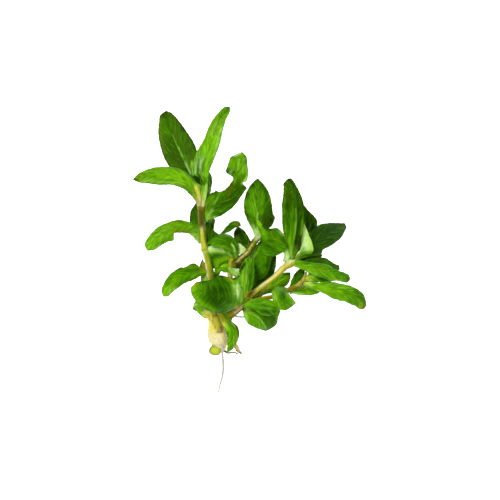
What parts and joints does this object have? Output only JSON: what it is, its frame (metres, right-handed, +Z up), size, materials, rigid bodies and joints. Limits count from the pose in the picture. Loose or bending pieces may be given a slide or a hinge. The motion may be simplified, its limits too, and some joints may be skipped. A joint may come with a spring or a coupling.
{
  "type": "staurogyne sprig",
  "caption": "Cut sprig of a bushy water plant lying on its side, with leafy shoots rising from a short pale rootstock that ends in thin roots.",
  "frame": {"origin": "on the surface that the sprig lies on, under the middle of its outline", "axes": "+Y from the root tip to the tip of the tallest leaf, +X to the right as seen from above, +Z up"},
  "size_m": [0.0927, 0.1138, 0.0233],
  "materials": {
    "leaf_dark": "satin deep green leaf",
    "leaf_mid": "satin mid green leaf",
    "leaf_bright": "satin yellow-green leaf",
    "leaf_pale": "satin pale green leaf",
    "stem_green": "satin yellow-green stem",
    "stem_straw": "satin straw-coloured stem",
    "stem_brown": "rough brown stem",
    "rootstock": "moist cream rootstock",
    "root": "moist whitish root"
  },
  "bodies": {
    "root": {"main_stem": "stem_green", "side_stem_low": "stem_straw", "side_stem_stub": "stem_brown", "side_stem_top": "stem_brown", "right_stem_low": "stem_brown", "right_stem_top": "stem_straw", "small_stem": "stem_brown", "rootstock": "rootstock", "long_root": "root", "rootlet_right": "root", "rootlet_low": "root", "rootlet_stem": "root", "top_leaf_back": "leaf_dark", "top_leaf_tall": "leaf_bright", "top_leaf_left": "leaf_bright", "top_bud_leaf": "leaf_dark", "top_leaf_sliver": "leaf_dark", "bitten_leaf_right": "leaf_mid", "stem_leaf_behind": "leaf_dark", "bitten_leaf_left": "leaf_bright", "node_leaf_dark": "leaf_dark", "node_leaf_underside": "leaf_pale", "node_leaf_narrow": "leaf_mid", "low_leaf_right": "leaf_mid", "low_leaf_left": "leaf_mid", "low_leaf_behind": "leaf_dark", "low_leaf_drooping": "leaf_pale", "round_leaf": "leaf_dark", "foot_leaf_left": "leaf_bright", "foot_leaf_right": "leaf_bright", "hanging_leaf_small": "leaf_pale", "upright_leaf": "leaf_bright", "broad_leaf_behind": "leaf_dark", "lower_leaf_front": "leaf_bright", "lower_leaf_large": "leaf_mid", "leaf_under_stem": "leaf_mid", "oval_leaf": "leaf_mid", "crossing_leaf": "leaf_mid", "hanging_leaf_middle": "leaf_mid", "side_leaf_dark": "leaf_dark", "side_leaf_pale": "leaf_pale", "arching_leaf": "leaf_mid", "stub_leaf_pale": "leaf_pale", "spear_leaf": "leaf_dark", "right_leaf_behind": "leaf_dark", "right_leaf_pale": "leaf_pale", "right_leaf_dark": "leaf_dark", "right_leaf_lobe": "leaf_dark", "right_leaf_bright": "leaf_bright", "right_leaf_shaded": "leaf_dark", "cupped_leaf": "leaf_bright", "long_leaf_right": "leaf_bright", "small_leaf_low": "leaf_mid", "small_leaf_dark": "leaf_dark", "small_leaf_between": "leaf_mid", "small_leaf_pale": "leaf_pale"}
  },
  "joints": []
}
